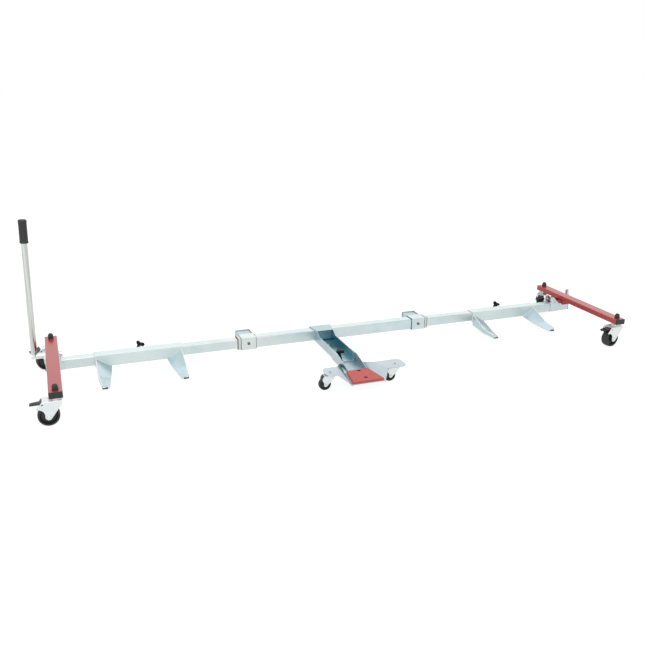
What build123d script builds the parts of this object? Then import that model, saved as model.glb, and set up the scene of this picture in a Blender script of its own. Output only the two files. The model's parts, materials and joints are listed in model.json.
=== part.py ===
from build123d import *
import os
from dataclasses import dataclass
from math import cos, radians, sin

# Driving dimensions, in millimetres. X runs along the rail, -Y is the side that takes the two
# motorcycle wheels, +Z is up. The floor is Z = 0, the rail's axis lies at Y = 0, and X = 0 is
# halfway between the crossbeams until the last lines move the origin under the middle of the box.

# Telescopic rail: a centre tube with an inner tube sliding in each end
tube_size = 50.0
tube_wall = 3.0
tube_corner = 5.0
centre_len = 918.0
centre_x = -13.0
slide_gap = 0.5
inner_wall = 2.5
inner_corner = 4.0
inner_len = 1000.0
plug_depth = 18.0
plug_flange = 3.0

# Collars round both ends of the centre tube with a lock box behind, and the tube's guide rings
collar_len = 67.0
collar_wall = 3.0
collar_depth = 88.0
guide_len = 14.0
guide_wall = 5.0
lock_bolt_r = 4.0
lock_head_r = 6.5
lock_head_h = 4.0
plunger_r = 5.0
plunger_out = 16.0
plunger_grip_r = 9.0
plunger_grip_h = 10.0

# Crossbeams and the hinges that carry the rail
beam_x = 1269.0
beam_w = 50.0
beam_h = 25.0
beam_wall = 2.5
beam_corner = 3.0
beam_front = 443.0
beam_back = 179.0
beam_cap_t = 4.0
beam_cap_depth = 16.0
stem_inset = 27.0
rail_over = 33.0
hinge_in = {"left": 23.0, "right": 57.0}
hinge_rise = 7.5
hinge_bolt_r = 5.0
hinge_head_r = 7.0
hinge_head_h = 4.5
beam_rail_gap = 15.0
ear_t = 5.0
ear_back = 26.0
ear_top_rise = 54.5
ear_top_w = 17.0
ear_nose = 28.0
ear_nose_rise = 14.5
ear_foot = 20.0
ear_foot_drop = 19.5
ear_pin_r = 2.5
low_ear_back = 18.0
low_ear_rise = 6.5
lug_t = 4.0
lug_gap = 0.5
lug_seat_gap = 0.3
lug_over = 20.0
cheek_drop = 11.0
cheek_in = 13.0
dome_r = 12.2
dome_h = 22.5
dome_fit = 0.2

# Lever and the sockets that take it: a stub under each crossbeam with an upright post for the lever's bore
socket_out = 71.0
socket_y = 45.0
stub_r = 12.0
stub_weld = 1.5
stub_in = 40.0
seat_h = 1.0
post_len = 39.0
post_wall = 3.0
lever_lean = 1.65
lever_r = 12.5
lever_wall = 2.0
lever_fit = 0.2
lever_seat_gap = 0.3
lever_len = 576.0
grip_len = 100.0
grip_r = 17.0
grip_end = 6.0

# Cradles: a folded carriage on each inner tube with two prongs for a tyre
cradle_x = {"left": -920.0, "right": 903.0}
carriage_len = 370.0
carriage_t = 3.0
carriage_gap = 0.4
carriage_lip_drop = 1.0
carriage_lip = 7.5
prong_out = 181.0
prong_t = 3.0
prong_mid = 52.0
prong_bend = 99.0
prong_reach = 184.0
prong_base_w = 64.0
prong_mid_w = 58.0
prong_bend_w = 49.0
prong_tip_w = 29.0
prong_tip_in = 7.0
prong_tip_len = 8.0
tip_cap_w = 22.0
tip_cap_rise = 11.0
prong_base_rise = 12.0
prong_bend_fall = 27.5
prong_tip_fall = 35.0
ramp_base_fall = 28.0
ramp_bend_fall = 42.0
ramp_tip_fall = 48.5
foot_base_fall = 43.0
foot_tip_fall = 51.0

# Clamp knobs
knob_r = 21.0
knob_h = 12.0
knob_scallop_r = 15.0
knob_scallop_at = 28.0
knob_edge = 2.5
neck_r = 7.0
neck_h = 12.0
stud_r = 4.0
stud_fit = 0.05
cradle_knob_rise = 15.5
cradle_knob_x = 14.0
cradle_stud_out = 31.0
clamp_nut_r = 9.0
clamp_nut_h = 9.0

# Arm on the centre tube and the stand that slides in it
arm_x = -80.0
arm_w = 81.0
arm_t = 3.0
arm_len = 308.0
arm_gap = 0.4
arm_rim_rise = 10.5
arm_drop_start = 46.0
arm_drop_end = 79.0
saddle_w = 104.0
saddle_bolt_r = 4.0
arm_hole_r = 5.0
arm_hole_y = -92.0
stand_gap = 0.4
stand_back = 255.0
stand_rim_flat = 325.0
stand_front = 553.0
pad_back = 432.0
pad_back_w = 99.0
pad_front_w = 137.0
pad_edge = 3.0
pad_t = 10.0
pad_bevel = 2.0
tray_w = 148.0
tray_rise = 2.0
tray_depth = 7.0
wing_span = 358.0
wing_shift = 23.0
wing_front = 495.0
wing_back = 412.0
wing_flare = 330.0
wing_fold_back = 84.0
wing_fold_front = 113.0
wing_end_r = 24.0
small_caster_in = {"left": 25.0, "right": 41.0}
small_caster_y = -455.0
stand_clamp_x = -14.0
stand_clamp_y = -264.0
clamp_washer_r = 12.0
clamp_washer_h = 5.0
clamp_slide_in = 90.0
clamp_slide_out = 30.0
pad_screw_r = 3.0
pad_screw_head_r = 8.0
pad_screw_head_h = 3.0
pad_screw_y = (-446.0, -521.0)


# Swivel casters: the braked ones on the crossbeams and the small ones on the stand
@dataclass
class Caster:
    wheel_d: float
    wheel_w: float
    height: float
    trail: float
    side_gap: float
    leg_t: float
    crown_front: float
    crown_back: float
    heel_back: float
    heel_z: float
    eye_r: float
    arch_r: float
    race_r: float
    race_h: float
    pin_r: float
    pin_head_r: float
    axle_r: float
    axle_head_r: float
    hub_r: float
    tread_h: float

    @property
    def leg_in(self):
        return self.wheel_w / 2 + self.side_gap

    @property
    def leg_out(self):
        return self.leg_in + self.leg_t

    @property
    def crown_top(self):
        return self.height - self.race_h - swivel_gap

    @property
    def plate_top(self):
        return self.crown_top - self.leg_t


big = Caster(wheel_d=80.0, wheel_w=36.0, height=110.0, trail=31.0, side_gap=4.0, leg_t=3.0,
             crown_front=20.0, crown_back=50.0, heel_back=72.0, heel_z=77.0, eye_r=12.0, arch_r=24.0,
             race_r=22.0, race_h=6.0, pin_r=6.0, pin_head_r=10.0, axle_r=5.0, axle_head_r=7.0, hub_r=13.0,
             tread_h=9.0)
small = Caster(wheel_d=52.0, wheel_w=22.0, height=72.0, trail=24.0, side_gap=3.0, leg_t=2.5,
               crown_front=16.0, crown_back=30.0, heel_back=38.0, heel_z=53.0, eye_r=8.0, arch_r=14.0,
               race_r=17.0, race_h=4.0, pin_r=4.0, pin_head_r=7.0, axle_r=4.0, axle_head_r=5.5, hub_r=9.0,
               tread_h=6.0)
swivel_gap = 0.3
run_fit = 0.05
pin_head_h = 4.0
axle_head_h = 4.0
hub_gap = 0.4
web_t = 9.0
tread_round = 4.0
pedal_pivot_x = -50.0
pedal_pivot_z = 90.0
pedal_pin_r = 3.0
pedal_boss_r = 6.5
pedal_w = 30.0
pedal_tip_x = -94.0
pedal_tip_z = 88.0
pedal_t = 6.0
shoe_gap = 1.7
shoe_w = 8.0
caster_turn = {"left_front": 0.0, "left_rear": 12.0, "right_front": 8.0, "right_rear": 40.0}

# Sizes and heights that follow from the driving dimensions
inner_size = tube_size - 2 * tube_wall - 2 * slide_gap
beam_under = big.height
beam_top = beam_under + beam_h
rail_z = beam_under - beam_rail_gap - inner_size / 2
rail_top = rail_z + inner_size / 2
hinge_at = {side: beam_x - inset for side, inset in hinge_in.items()}
hinge_z = rail_top + hinge_rise
rail_end = beam_x + rail_over
stub_z = beam_under - stub_r + stub_weld
seat_z = stub_r + seat_h
post_r = lever_r - lever_wall - lever_fit
centre_left = centre_x - centre_len / 2
centre_right = centre_x + centre_len / 2
stem_y = {"front": stem_inset - beam_front, "rear": beam_back - stem_inset}
carriage_half = inner_size / 2 + slide_gap + carriage_t
carriage_top = rail_top + carriage_gap + carriage_t
carriage_lip_z = rail_z - inner_size / 2 - carriage_lip_drop
knob_rise_z = rail_z + cradle_knob_rise
arm_floor = rail_z - tube_size / 2 - arm_gap
arm_top = rail_z + tube_size / 2 + arm_gap + arm_t
arm_rim = rail_z + arm_rim_rise
arm_face = tube_size / 2 + arm_gap
stand_floor = arm_floor - arm_t - stand_gap
stand_half = arm_w / 2 + stand_gap + arm_t
tray_top = stand_floor + tray_rise + arm_t
pad_top = tray_top + pad_t
stand_rim = arm_rim
wing_under = small.height
wing_top = wing_under + arm_t
wing_end = {"left": wing_span / 2 - wing_shift, "right": wing_span / 2 + wing_shift}


def block(x, y, z):
    spans = (x, y, z)
    middle = [(low + high) / 2 for low, high in spans]
    return Pos(*middle) * Box(*[high - low for low, high in spans])


def along_x(sketch, x):
    return extrude(Plane.YZ.offset(x[0]) * sketch, x[1] - x[0], dir=(1, 0, 0))


def along_y(sketch, y):
    return extrude(Plane.XZ.offset(-y[0]) * sketch, y[1] - y[0], dir=(0, 1, 0))


def along_z(sketch, z):
    return extrude(Plane.XY.offset(z[0]) * sketch, z[1] - z[0], dir=(0, 0, 1))


def outline(*points):
    return Polygon(*points, align=None)


def rod(axis, centre, radius, length):
    turn = {"X": Rot(0, 90, 0), "Y": Rot(90, 0, 0), "Z": Rot(0, 0, 0)}[axis]
    return Pos(*centre) * turn * Cylinder(radius, length)


def hex_y(x, y, z, radius):
    return along_y(Pos(x, z) * RegularPolygon(radius, 6), y)


def hollow(width, height, wall, corner):
    inside = RectangleRounded(width - 2 * wall, height - 2 * wall, max(corner - wall, wall / 4))
    return RectangleRounded(width, height, corner) - inside


# Rail
def centre_tube():
    section = Pos(0, rail_z) * hollow(tube_size, tube_size, tube_wall, tube_corner)
    return along_x(section, (centre_left, centre_right))


def collar(left_end):
    half = tube_size / 2 + collar_wall
    right_end = left_end + collar_len
    height = (rail_z - half, rail_z + half)
    opening = RectangleRounded(tube_size, tube_size, tube_corner)
    sleeve = Pos(0, rail_z) * (Rectangle(2 * half, 2 * half) - opening)
    body = along_x(sleeve, (left_end, right_end))
    body += block((left_end, right_end), (collar_depth - collar_wall, collar_depth), height)
    body += block((right_end - collar_wall, right_end), (half, collar_depth), height)
    body += block((left_end, right_end), (half, collar_depth), (height[0], height[0] + collar_wall))
    middle = left_end + collar_len / 2
    body -= rod("Y", (middle, collar_depth, rail_z), plunger_r, 4 * collar_wall)
    return body - rod("Y", (middle, -half, rail_z), lock_bolt_r, 3 * collar_wall)


def guide_ring(span):
    bore = inner_size + 2 * slide_gap
    ring = RectangleRounded(bore + 2 * guide_wall, bore + 2 * guide_wall, tube_corner)
    body = along_x(Pos(0, rail_z) * (ring - RectangleRounded(bore, bore, inner_corner)), span)
    outer_end = body.faces().sort_by(Axis.X)[0 if span[0] < centre_x else -1]
    return fillet(outer_end.outer_wire().edges(), guide_wall / 2)


def lock_bolt(x):
    face = -tube_size / 2 - collar_wall
    head = Pos(x, 0, rail_z) * rod("Y", (0, face - lock_head_h / 2, 0), lock_head_r, lock_head_h)
    head = chamfer(head.faces().sort_by(Axis.Y)[0].edges(), lock_head_h / 4)
    return head + rod("Y", (x, face + collar_wall / 2, rail_z), lock_bolt_r, collar_wall)


def lock_plunger(x):
    start = tube_size / 2 + collar_wall
    end = collar_depth + plunger_out
    grip = (end - plunger_grip_h / 2, plunger_grip_r, plunger_grip_h)
    pin = rod("Y", (x, (start + end) / 2, rail_z), plunger_r, end - start)
    return pin + rod("Y", (x, grip[0], rail_z), grip[1], grip[2])


def inner_tube():
    section = Pos(0, rail_z) * hollow(inner_size, inner_size, inner_wall, inner_corner)
    return along_x(section, (rail_end - plug_flange - inner_len, rail_end - plug_flange))


def rail_plug():
    face = rail_end - plug_flange
    inside = inner_size - 2 * inner_wall
    place = Pos(0, rail_z)
    plug = place * RectangleRounded(inside, inside, inner_corner - inner_wall)
    plug = along_x(plug, (face - plug_depth, face))
    flange = place * RectangleRounded(inner_size, inner_size, inner_corner)
    return plug + along_x(flange, (face, rail_end))


# Hinge between a rail end and its crossbeam, drawn at +X
def tall_ear(x):
    profile = outline(
        (x - ear_back, rail_z - ear_foot_drop),
        (x + ear_foot, rail_z - ear_foot_drop),
        (x + ear_nose, rail_z + ear_nose_rise),
        (x - ear_back + ear_top_w, rail_z + ear_top_rise),
        (x - ear_back, rail_z + ear_top_rise),
    )
    return profile - Pos(x - ear_back + ear_pin_r * 2, rail_top + ear_pin_r) * Circle(ear_pin_r)


def low_ear(x):
    boss_r = hinge_rise - slide_gap
    profile = outline(
        (x - low_ear_back, rail_z - ear_foot_drop),
        (x + boss_r, rail_z - ear_foot_drop),
        (x + boss_r, hinge_z),
        (x - boss_r, hinge_z),
        (x - low_ear_back, rail_z + low_ear_rise),
    )
    return profile + Pos(x, hinge_z) * Circle(boss_r)


def hinge_ears(profile, x):
    profile -= Pos(x, hinge_z) * Circle(hinge_bolt_r)
    inside = inner_size / 2
    return [along_y(profile, (inside, inside + ear_t)), along_y(profile, (-inside - ear_t, -inside))]


def hinge_bolt(x):
    outside = inner_size / 2 + ear_t
    bolt = rod("Y", (x, 0, hinge_z), hinge_bolt_r, 2 * outside)
    bolt += hex_y(x, (-outside - hinge_head_h, -outside), hinge_z, hinge_head_r)
    return bolt + hex_y(x, (outside, outside + hinge_head_h), hinge_z, hinge_head_r)


def hinge_lug(x):
    boss_r = hinge_rise - lug_seat_gap
    outer_x = beam_x + lug_over
    arm = outline((x, hinge_z - boss_r), (outer_x, hinge_z - boss_r), (outer_x, beam_under),
                  (x + boss_r, beam_under), (x, hinge_z + boss_r))
    arm += Pos(x, hinge_z) * Circle(boss_r)
    arm -= Pos(x, hinge_z) * Circle(hinge_bolt_r + run_fit)
    inside = inner_size / 2
    cheek_x = beam_x - cheek_in
    cheek = Rectangle(rail_end - cheek_x, beam_under - rail_top + cheek_drop, align=Align.MAX)
    cheek = fillet(cheek.vertices().group_by(Axis.Y)[0], cheek_drop / 2)
    body = block((cheek_x, rail_end), (-inside - lug_gap - lug_t, inside + lug_gap + lug_t),
                 (beam_under - lug_t, beam_under))
    for side in (-1, 1):
        inner_face = side * (inside - lug_gap)
        body += along_y(arm, sorted((inner_face - side * lug_t, inner_face)))
        outer_face = side * (inside + lug_gap)
        body += along_y(Pos(rail_end, beam_under) * cheek, sorted((outer_face, outer_face + side * lug_t)))
    return body


# Crossbeam, drawn at +X
def crossbeam():
    section = Pos(beam_x, beam_under + beam_h / 2) * hollow(beam_w, beam_h, beam_wall, beam_corner)
    beam = along_y(section, (beam_cap_t - beam_front, beam_back - beam_cap_t))
    for y in stem_y.values():
        beam -= rod("Z", (beam_x, y, beam_under + beam_h / 2), big.pin_r, 2 * beam_h)
    return beam


def beam_caps():
    caps = []
    place = Pos(beam_x, beam_under + beam_h / 2)
    inside = RectangleRounded(beam_w - 2 * beam_wall, beam_h - 2 * beam_wall, beam_wall / 4)
    for y, step in ((-beam_front, 1), (beam_back, -1)):
        seat = y + step * beam_cap_t
        cap = along_y(place * RectangleRounded(beam_w, beam_h, beam_corner), sorted((y, seat)))
        cap = chamfer(cap.faces().sort_by(Axis.Y)[0 if step > 0 else -1].edges(), beam_cap_t / 4)
        caps.append(cap + along_y(place * inside, sorted((seat, seat + step * beam_cap_depth))))
    return caps


def king_pin(caster, x, y, shank_top):
    crown_under = caster.plate_top - caster.leg_t - swivel_gap
    pin = rod("Z", (x, y, (crown_under + shank_top) / 2), caster.pin_r, shank_top - crown_under)
    pin += rod("Z", (x, y, crown_under - pin_head_h / 2), caster.pin_head_r, pin_head_h)
    return pin + rod("Z", (x, y, caster.height - caster.race_h / 2), caster.race_r, caster.race_h)


def dome_cap(y):
    cap = rod("Z", (0, 0, dome_h / 2), dome_r, dome_h)
    cap = fillet(cap.faces().sort_by(Axis.Z)[-1].edges(), dome_r * 0.9)
    cap -= rod("Z", (0, 0, dome_h / 4), big.pin_r + dome_fit, dome_h / 2)
    return Pos(beam_x, y, beam_top) * cap


def post_place():
    return Pos(beam_x + socket_out, socket_y, stub_z) * Rot(0, -lever_lean, 0)


def lever_socket():
    span = (beam_x - stub_in, beam_x + socket_out + lever_r)
    stub = rod("X", (sum(span) / 2, socket_y, stub_z), stub_r, span[1] - span[0])
    stub -= block((beam_x - beam_w / 2 - stub_weld, beam_x + beam_w / 2 + stub_weld),
                  (socket_y - 2 * stub_r, socket_y + 2 * stub_r), (beam_under, beam_under + 2 * stub_r))
    post = rod("Z", (0, 0, post_len / 2), post_r, post_len)
    post += rod("Z", (0, 0, seat_z / 2), lever_r, seat_z)
    bore = rod("Z", (0, 0, (seat_z + post_len) / 2), post_r - post_wall, post_len - seat_z)
    return stub + post_place() * (post - bore)


def lever_pieces():
    section = Circle(lever_r) - Circle(lever_r - lever_wall)
    tube = along_z(section, (seat_z + lever_seat_gap, lever_len - grip_end))
    grip = rod("Z", (0, 0, lever_len - grip_len / 2), grip_r, grip_len)
    grip = fillet(grip.faces().sort_by(Axis.Z)[-1].edges(), grip_end)
    grip = chamfer(grip.faces().sort_by(Axis.Z)[0].edges(), grip_end / 4)
    grip -= rod("Z", (0, 0, lever_len - grip_end - grip_len / 2), lever_r, grip_len)
    return [mirror(post_place() * piece, Plane.YZ) for piece in (tube, grip)]


# Cradle, drawn about X = 0
def carriage():
    half, top, lip = carriage_half, carriage_top, carriage_lip_z
    wall = carriage_t
    bend = wall * 0.4
    right = [(half, top), (half, lip), (half - carriage_lip, lip - carriage_lip),
             (half - carriage_lip - wall * 0.7, lip - carriage_lip + wall * 0.7), (half - wall, lip + bend),
             (half - wall, top - wall)]
    left = [(-y, z) for y, z in reversed(right)]
    body = along_x(outline(*right, *left), (-carriage_len / 2, carriage_len / 2))
    body = fillet(body.edges().filter_by(Axis.X).group_by(Axis.Z)[-1], carriage_t)
    body += hex_y(cradle_knob_x, (half, half + clamp_nut_h), knob_rise_z, clamp_nut_r)
    return body - rod("Y", (cradle_knob_x, half, knob_rise_z), stud_r + stud_fit, 4 * clamp_nut_h)


def prong_section(y, outer, width, ridge, ramp, foot):
    slope = (ridge - ramp) / width
    skin = prong_t * 1.2
    points = [(outer, foot), (outer, ridge), (outer - width, ramp), (outer - width, ramp - skin),
              (outer - prong_t, ridge - prong_t * slope - skin), (outer - prong_t, foot)]
    return Plane.XZ.offset(-y) * outline(*points)


def prong():
    face = -carriage_half
    middle = prong_mid / prong_bend
    base_ridge = rail_z + prong_base_rise
    bend_ridge = rail_z - prong_bend_fall
    base_ramp = rail_z - ramp_base_fall
    bend_ramp = rail_z - ramp_bend_fall
    base_foot = rail_z - foot_base_fall
    tip_foot = rail_z - foot_tip_fall
    sections = [
        prong_section(face, prong_out, prong_base_w, base_ridge, base_ramp, base_foot),
        prong_section(face - prong_mid, prong_out, prong_mid_w,
                      base_ridge + (bend_ridge - base_ridge) * middle,
                      base_ramp + (bend_ramp - base_ramp) * middle, (base_foot + tip_foot) / 2),
        prong_section(face - prong_bend, prong_out, prong_bend_w, bend_ridge, bend_ramp, tip_foot),
        prong_section(face - prong_reach, prong_out - prong_tip_in, prong_tip_w, rail_z - prong_tip_fall,
                      rail_z - ramp_tip_fall, tip_foot),
    ]
    return loft(sections, ruled=True)


def prong_tip():
    end = -carriage_half - prong_reach
    foot = rail_z - foot_tip_fall
    outer = prong_out - prong_tip_in
    inner = outer - tip_cap_w
    profile = outline((outer, foot), (outer, foot + tip_cap_rise), (inner, foot + prong_t), (inner, foot))
    tip = along_y(profile, (end - prong_tip_len, end))
    return chamfer(tip.faces().sort_by(Axis.Y)[0].edges(), prong_t / 4)


def knob():
    star = Circle(knob_r) - PolarLocations(knob_scallop_at, 3) * Circle(knob_scallop_r)
    star = fillet(star.vertices(), knob_edge)
    head = along_z(star, (neck_h, neck_h + knob_h))
    head = fillet(head.faces().sort_by(Axis.Z)[-1].edges(), knob_edge / 2)
    return head + rod("Z", (0, 0, neck_h / 2), neck_r, neck_h)


def cradle_knob():
    start = carriage_half + cradle_stud_out
    head = Rot(-90, 0, 0) * knob() - rod("Y", (0, 0, 0), stud_r, 2 * neck_h)
    return Pos(cradle_knob_x, start, knob_rise_z) * head


def cradle_stud():
    tube_face = inner_size / 2 + swivel_gap
    end = carriage_half + cradle_stud_out + neck_h
    return rod("Y", (cradle_knob_x, (tube_face + end) / 2, knob_rise_z), stud_r, end - tube_face)


# Arm and stand, drawn about X = 0
def arm_channel():
    half, low = arm_w / 2, arm_floor - arm_t
    saddle = outline((-saddle_w / 2, arm_face + arm_t), (saddle_w / 2, arm_face + arm_t),
                     (half, -arm_drop_start), (-half, -arm_drop_start))
    body = along_z(saddle, (arm_top - arm_t, arm_top))
    body += block((-saddle_w / 2, saddle_w / 2), (arm_face, arm_face + arm_t), (low, arm_top))
    body += block((-half, half), (-arm_len, arm_face + arm_t), (low, arm_floor))
    side = outline((-arm_face, low), (-arm_len, low), (-arm_len, arm_rim), (-arm_drop_end, arm_rim),
                   (-arm_drop_start, arm_top), (-arm_face, arm_top))
    for x in (-half, half - arm_t):
        body += along_x(side, (x, x + arm_t))
    slot_y = (stand_clamp_y - clamp_slide_out, stand_clamp_y + clamp_slide_in)
    slot_len = slot_y[1] - slot_y[0] + 2 * (stud_r + slide_gap)
    slot = Pos(stand_clamp_x, sum(slot_y) / 2) * SlotOverall(slot_len, 2 * (stud_r + slide_gap), rotation=90)
    body -= along_z(slot, (low - arm_t, arm_floor + arm_t))
    body -= rod("Z", (0, arm_hole_y, low), arm_hole_r, 4 * arm_t)
    return body - rod("Y", (0, arm_face, rail_z), saddle_bolt_r, 4 * arm_t)


def saddle_bolt():
    back = arm_face + arm_t
    shank = (tube_size / 2 + swivel_gap, back)
    bolt = rod("Y", (0, sum(shank) / 2, rail_z), saddle_bolt_r, shank[1] - shank[0])
    return bolt + hex_y(0, (back, back + saddle_bolt_r), rail_z, 1.8 * saddle_bolt_r)


def folded_sheet(*corners):
    return extrude(make_face(Polyline(*corners, close=True)), arm_t, dir=(0, 0, -1))


def wing(end, swivel_in):
    plan = outline((wing_fold_back, -wing_back), (end, -wing_back), (end, -wing_front),
                   (wing_fold_front, -wing_front))
    plan = fillet(plan.vertices().group_by(Axis.X)[-1], wing_end_r)
    plate = along_z(plan, (wing_under, wing_top))
    back = (wing_fold_back, -wing_back, wing_top)
    front = (wing_fold_front, -wing_front, wing_top)
    toe = (tray_w / 2, -stand_front, tray_top)
    root = (stand_half - arm_t, -wing_flare, tray_top)
    plate += folded_sheet(back, front, toe)
    plate += folded_sheet(back, toe, root)
    return plate - rod("Z", (end - swivel_in, small_caster_y, wing_under), small.pin_r, 4 * arm_t)


def stand_base():
    low, half = stand_floor - arm_t, stand_half
    tray_back = pad_back - pad_edge
    channel = block((-half, half), (-pad_back, -stand_back), (low, stand_floor))
    side = outline((-stand_back, low), (-pad_back, low), (-pad_back, pad_top), (-stand_rim_flat, stand_rim),
                   (-stand_back, stand_rim))
    for x in (-half, half - arm_t):
        channel += along_x(side, (x, x + arm_t))
    tray = block((-tray_w / 2, tray_w / 2), (-stand_front, -tray_back), (tray_top - tray_depth, tray_top))
    tray -= block((arm_t - tray_w / 2, tray_w / 2 - arm_t),
                  (-stand_front - tray_depth, tray_depth - tray_back),
                  (tray_top - 2 * tray_depth, tray_top - arm_t))
    left, right = [wing(wing_end[side], small_caster_in[side]) for side in ("left", "right")]
    body = channel + tray + right + mirror(left, Plane.YZ)
    body -= rod("Z", (stand_clamp_x, stand_clamp_y, low), stud_r, 4 * arm_t)
    for y in pad_screw_y:
        body -= rod("Z", (0, y, tray_top), pad_screw_r, 4 * arm_t)
    return body


def stand_pad():
    back, front = pad_back_w / 2, pad_front_w / 2
    plan = outline((-back, -pad_back), (back, -pad_back), (front, -stand_front), (-front, -stand_front))
    pad = along_z(plan, (tray_top, pad_top))
    pad = fillet(pad.edges().filter_by(Axis.Z), 2 * pad_bevel)
    pad = chamfer(pad.faces().sort_by(Axis.Z)[-1].edges(), pad_bevel)
    for y in pad_screw_y:
        pad -= rod("Z", (0, y, tray_top + pad_t / 2), pad_screw_r, 2 * pad_t)
        pad -= rod("Z", (0, y, pad_top), pad_screw_head_r, 2 * (pad_t - pad_screw_head_h))
    return pad


def pad_screw(y):
    seat = tray_top + pad_screw_head_h
    low = tray_top - arm_t
    shank = rod("Z", (0, y, (low + seat) / 2), pad_screw_r, seat - low)
    head = rod("Z", (0, y, seat + pad_screw_head_h / 2), pad_screw_head_r, pad_screw_head_h)
    recess = along_z(Pos(0, y) * RegularPolygon(pad_screw_r, 6), (seat + 1, seat + 2 * pad_screw_head_h))
    return shank + head - recess


def clamp_stud():
    low = stand_floor - arm_t
    washer_top = arm_floor + clamp_washer_h
    nut_top = washer_top + clamp_nut_h
    top = nut_top + swivel_gap + neck_h
    stud = rod("Z", (0, 0, (low + top) / 2), stud_r, top - low)
    stud += along_z(RegularPolygon(clamp_nut_r, 6), (washer_top, nut_top))
    stud += rod("Z", (0, 0, low - stud_r / 2), 2 * stud_r, stud_r)
    washer_z = (arm_floor + swivel_gap + washer_top) / 2
    stud += rod("Z", (0, 0, washer_z), clamp_washer_r, clamp_washer_h - swivel_gap)
    return Pos(stand_clamp_x, stand_clamp_y, 0) * stud


def stand_knob():
    bore = rod("Z", (0, 0, 0), stud_r + stud_fit, 2 * neck_h + 4 * swivel_gap)
    seat = arm_floor + clamp_washer_h + clamp_nut_h + swivel_gap
    return Pos(stand_clamp_x, stand_clamp_y, seat) * (knob() - bore)


# Casters, drawn with the swivel axis at X = Y = 0, the wheel trailing towards -X
def fork(c, braked):
    wheel_r = c.wheel_d / 2
    axle = (-c.trail, wheel_r)
    eye_in = radians(35)
    arch_z = axle[1] + c.eye_r * 2 / 3
    leg = outline(
        (c.crown_front, c.plate_top),
        (c.crown_front, c.plate_top - c.eye_r),
        (axle[0] + c.eye_r * cos(eye_in), axle[1] - c.eye_r * sin(eye_in)),
        (axle[0] - c.eye_r, axle[1]),
        (axle[0] - c.eye_r, arch_z),
        (-c.heel_back, arch_z),
        (-c.heel_back, c.heel_z),
        (-c.crown_back, c.plate_top),
    )
    leg -= Pos(axle[0] - c.eye_r - c.arch_r, arch_z) * Circle(c.arch_r)
    leg += Pos(*axle) * Circle(c.eye_r)
    leg -= Pos(*axle) * Circle(c.axle_r)
    if braked:
        leg -= Pos(pedal_pivot_x, pedal_pivot_z) * Circle(pedal_pin_r + run_fit)
    body = along_y(leg, (c.leg_in, c.leg_out)) + along_y(leg, (-c.leg_out, -c.leg_in))
    body += block((-c.crown_back, c.crown_front), (-c.leg_out, c.leg_out),
                  (c.plate_top - c.leg_t, c.plate_top))
    body = fillet(body.edges().filter_by(Axis.X).group_by(Axis.Z)[-1], 0.9 * c.leg_t)
    body += rod("Z", (0, 0, (c.plate_top + c.crown_top) / 2), c.race_r, c.crown_top - c.plate_top)
    return body - rod("Z", (0, 0, c.plate_top), c.pin_r + run_fit, 4 * c.leg_t)


def axle(c):
    x, z = -c.trail, c.wheel_d / 2
    bolt = rod("Y", (x, 0, z), c.axle_r, 2 * c.leg_out)
    for y in ((-c.leg_out - axle_head_h, -c.leg_out), (c.leg_out, c.leg_out + axle_head_h)):
        bolt += hex_y(x, y, z, c.axle_head_r)
    return bolt


def wheel(c):
    def ring(low, high, width):
        return Pos((low + high) / 2, 0) * Rectangle(high - low, width)

    radius = c.wheel_d / 2
    tread = ring(radius - c.tread_h, radius, c.wheel_w)
    tread = fillet(tread.vertices().group_by(Axis.X)[-1], tread_round)
    bore = c.axle_r + run_fit
    profile = tread + ring(bore, radius - c.tread_h, web_t) + ring(bore, c.hub_r, 2 * (c.leg_in - hub_gap))
    return Pos(-c.trail, 0, radius) * revolve(profile, Axis.Y)


def pedal():
    pivot = Pos(pedal_pivot_x, pedal_pivot_z)
    paddle = outline((pedal_pivot_x, pedal_pivot_z + pedal_boss_r), (pedal_tip_x, pedal_tip_z),
                     (pedal_tip_x, pedal_tip_z - pedal_t), (pedal_pivot_x, pedal_pivot_z - pedal_boss_r / 2))
    to_axle = Vector(-big.trail - pedal_pivot_x, big.wheel_d / 2 - pedal_pivot_z)
    to_wheel = to_axle.normalized()
    across = Vector(-to_wheel.Y, to_wheel.X) * shoe_w / 2
    root = Vector(pedal_pivot_x, pedal_pivot_z)
    toe = root + to_wheel * (to_axle.length - big.wheel_d / 2 - shoe_gap)
    shoe = outline(*[(p.X, p.Y) for p in (root + across, toe + across, toe - across, root - across)])
    profile = paddle + shoe + pivot * Circle(pedal_boss_r)
    body = along_y(profile, (-pedal_w / 2, pedal_w / 2))
    body = fillet(body.edges().filter_by(Axis.Z).group_by(Axis.X)[0], pedal_t / 2)
    return body + rod("Y", (pedal_pivot_x, 0, pedal_pivot_z), pedal_pin_r, 2 * big.leg_out)


# Assembly: every node's solids by name
nodes = {}
collar_x = (centre_left, centre_right - collar_len)
nodes["centre_tube"] = [centre_tube()]
nodes["collars"] = [collar(x) for x in collar_x]
nodes["tube_guides"] = [guide_ring((centre_left - guide_len, centre_left)),
                        guide_ring((centre_right, centre_right + guide_len))]
nodes["collar_locks"] = [lock(x + collar_len / 2) for x in collar_x for lock in (lock_bolt, lock_plunger)]

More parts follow.
